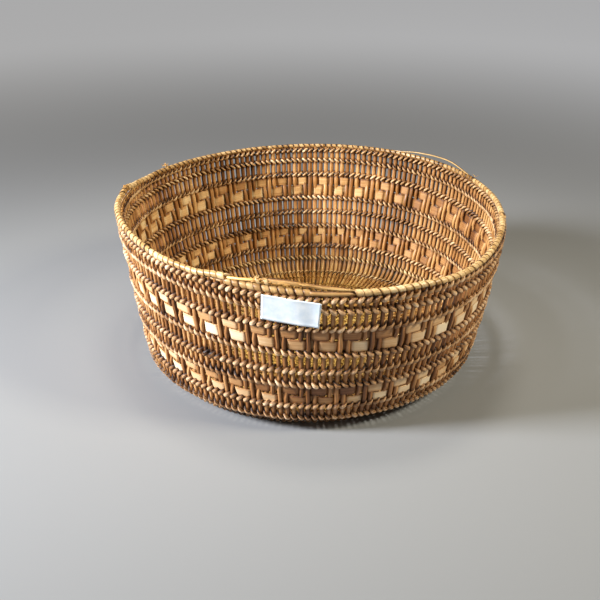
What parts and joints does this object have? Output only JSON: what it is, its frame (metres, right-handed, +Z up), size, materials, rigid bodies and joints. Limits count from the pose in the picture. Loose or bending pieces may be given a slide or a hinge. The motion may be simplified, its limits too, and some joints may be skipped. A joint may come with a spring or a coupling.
{
  "type": "twined basket",
  "caption": "Low round openwork basket of peeled rods, twined in paired rows, with two bands of flat twilled splints and a bound rim.",
  "frame": {"origin": "centre of the underside of the base, on the surface the basket stands on", "axes": "+Z up through the open mouth, -Y to the front, where the paper label is, +X to the right as seen from the front"},
  "size_m": [0.3821, 0.387, 0.1547],
  "materials": {
    "rod": "peeled shoots, aged brown, satin",
    "strand": "split root strands, tan, satin",
    "base_strand": "split root strands, golden, satin",
    "splint": "flat split wood, pale, dry matte",
    "binding": "split root wraps, straw gold, satin",
    "label": "plain white paper, matte"
  },
  "bodies": {
    "root": {"warps_01": "rod", "warps_02": "rod", "warps_03": "rod", "warps_04": "rod", "warps_05": "rod", "warps_06": "rod", "warps_07": "rod", "warps_08": "rod", "warps_09": "rod", "warps_10": "rod", "warps_11": "rod", "warps_12": "rod", "warps_13": "rod", "warps_14": "rod", "warps_15": "rod", "warps_16": "rod", "warps_17": "rod", "warps_18": "rod", "warps_19": "rod", "warps_20": "rod", "warps_21": "rod", "warps_22": "rod", "rim_lower_rod": "rod", "rim_upper_rod": "rod", "row_a_outer": "strand", "row_a_inner": "strand", "row_b_outer": "strand", "row_b_inner": "strand", "row_c_outer": "strand", "row_c_inner": "strand", "row_d_outer": "strand", "row_d_inner": "strand", "row_e_outer": "strand", "row_e_inner": "strand", "row_f_outer": "strand", "row_f_inner": "strand", "row_g_outer": "strand", "row_g_inner": "strand", "row_h_outer": "strand", "row_h_inner": "strand", "base_start": "base_strand", "corner_row_outer": "base_strand", "corner_row_inner": "base_strand", "base_row_j_lower": "base_strand", "base_row_j_upper": "base_strand", "base_row_k_lower": "base_strand", "base_row_k_upper": "base_strand", "base_row_l_lower": "base_strand", "base_row_l_upper": "base_strand", "base_row_m_lower": "base_strand", "base_row_m_upper": "base_strand", "lower_band_lower_splint": "splint", "lower_band_upper_splint": "splint", "upper_band_lower_splint": "splint", "upper_band_upper_splint": "splint", "rim_binding": "binding", "rim_binding_short": "binding", "paper_label": "label"}
  },
  "joints": []
}
